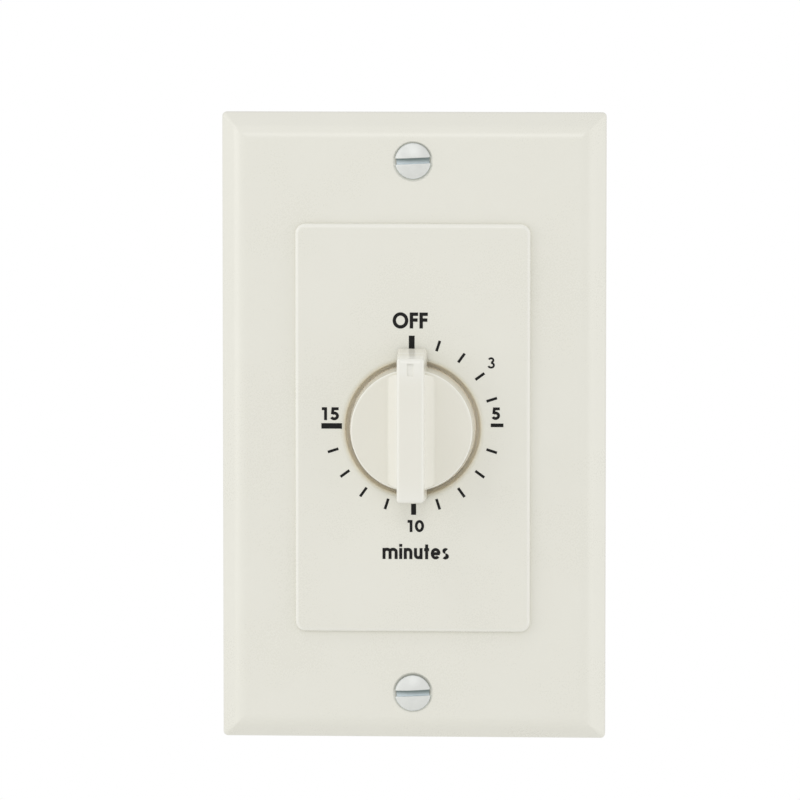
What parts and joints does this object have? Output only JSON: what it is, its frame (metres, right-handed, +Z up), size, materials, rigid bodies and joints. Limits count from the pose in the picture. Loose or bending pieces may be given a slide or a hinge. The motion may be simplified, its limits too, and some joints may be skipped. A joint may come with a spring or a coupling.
{
  "type": "timer light switch",
  "caption": "Spring-wound countdown timer switch for a one-gang wall box, with a bevelled wall plate, a raised dial, a bar-grip knob, geared clockwork and cam-worked contacts.",
  "frame": {"origin": "on the knob's axis at the wall plane, which is the back of the wall plate's rim and the front edge of the wall box", "axes": "+Z up, +X to the right as seen from the room, +Y into the wall; the dial faces -Y"},
  "size_m": [0.0698, 0.0489, 0.1142],
  "materials": {
    "ivory_plastic": "light ivory moulding, soft gloss",
    "plated_screw": "bright nickel plate",
    "zinc_steel": "clear zinc plate",
    "bright_steel": "turned and polished",
    "spring_steel": "blued",
    "sheet_brass": "brushed sheet",
    "black_phenolic": "moulded, faint mottle",
    "white_nylon": "natural nylon",
    "silver_contact": "fine silver, slightly dulled",
    "green_screw": "green dyed plate",
    "red_fibre": "vulcanised fibre"
  },
  "bodies": {
    "switch_body": {"wall_plate": "ivory_plastic", "plate_screws": "plated_screw", "dial_plate": "ivory_plastic", "mounting_strap": "zinc_steel", "shaft_bushing": "sheet_brass", "box_screws": "zinc_steel", "screw_retainers": "red_fibre", "ground_screw": "green_screw", "case": "black_phenolic", "case_screws": "zinc_steel", "strap_spacers": "sheet_brass", "movement_screws": "zinc_steel", "front_plate": "sheet_brass", "frame_pillars": "sheet_brass", "back_plate": "sheet_brass", "pillar_nuts": "bright_steel", "mainspring": "spring_steel", "spring_post": "bright_steel", "stop_post": "bright_steel", "lever_pin": "bright_steel", "lever_spring": "spring_steel", "line_terminal": "sheet_brass", "fixed_contact": "silver_contact", "load_terminal": "sheet_brass", "terminal_screws": "sheet_brass"},
    "knob_and_arbor": {"knob": "ivory_plastic", "knob_clip": "spring_steel", "main_arbor": "bright_steel", "clutch_hub": "bright_steel", "main_wheel": "sheet_brass", "clutch_washer": "spring_steel", "clutch_clip": "spring_steel", "stop_plate": "bright_steel", "switch_cam": "white_nylon", "cam_clip": "spring_steel"},
    "second_gear": {"second_arbor": "bright_steel", "second_wheel": "sheet_brass"},
    "third_gear": {"third_arbor": "bright_steel", "third_wheel": "sheet_brass"},
    "escape_gear": {"escape_arbor": "bright_steel", "escape_wheel": "sheet_brass"},
    "pallets": {"pallet_arbor": "bright_steel", "pallet_lever": "bright_steel", "inertia_bar": "sheet_brass"},
    "contact_arm": {"contact_lever": "sheet_brass", "moving_contact": "silver_contact"}
  },
  "joints": [
    {"name": "knob_turn", "type": "hinge", "parent": "switch_body", "child": "knob_and_arbor", "pos_m": [0, 0, 0], "axis": [0, 1, 0], "range_deg": [0, 270], "stiffness_Nm_per_rad": 0.003, "springref_deg": -91.67, "deforming": ["mainspring"]},
    {"name": "second_gear_spin", "type": "hinge", "parent": "switch_body", "child": "second_gear", "pos_m": [0.008, 0.012, 0.01556], "axis": [0, 1, 0], "continuous": true},
    {"name": "third_gear_spin", "type": "hinge", "parent": "switch_body", "child": "third_gear", "pos_m": [-0.0038, 0.014, 0.01775], "axis": [0, 1, 0], "continuous": true},
    {"name": "escape_gear_spin", "type": "hinge", "parent": "switch_body", "child": "escape_gear", "pos_m": [-0.01231, 0.016, 0.01482], "axis": [0, 1, 0], "continuous": true},
    {"name": "pallet_rock", "type": "hinge", "parent": "switch_body", "child": "pallets", "pos_m": [-0.01732, 0.016, 0.00885], "axis": [0, 1, 0], "range_deg": [-4.5, 4.5]},
    {"name": "contact_close", "type": "hinge", "parent": "switch_body", "child": "contact_arm", "pos_m": [0.014, 0.0226, -0.0086], "axis": [0, 1, 0], "range_deg": [0, 2.43], "deforming": ["lever_spring"]}
  ],
  "couplings": [
    {"joint": "second_gear_spin", "follows": "knob_turn", "ratio": -6},
    {"joint": "third_gear_spin", "follows": "knob_turn", "ratio": 30},
    {"joint": "escape_gear_spin", "follows": "knob_turn", "ratio": -150},
    {"joint": "contact_close", "follows": "knob_turn", "ratio": 0.008973}
  ]
}
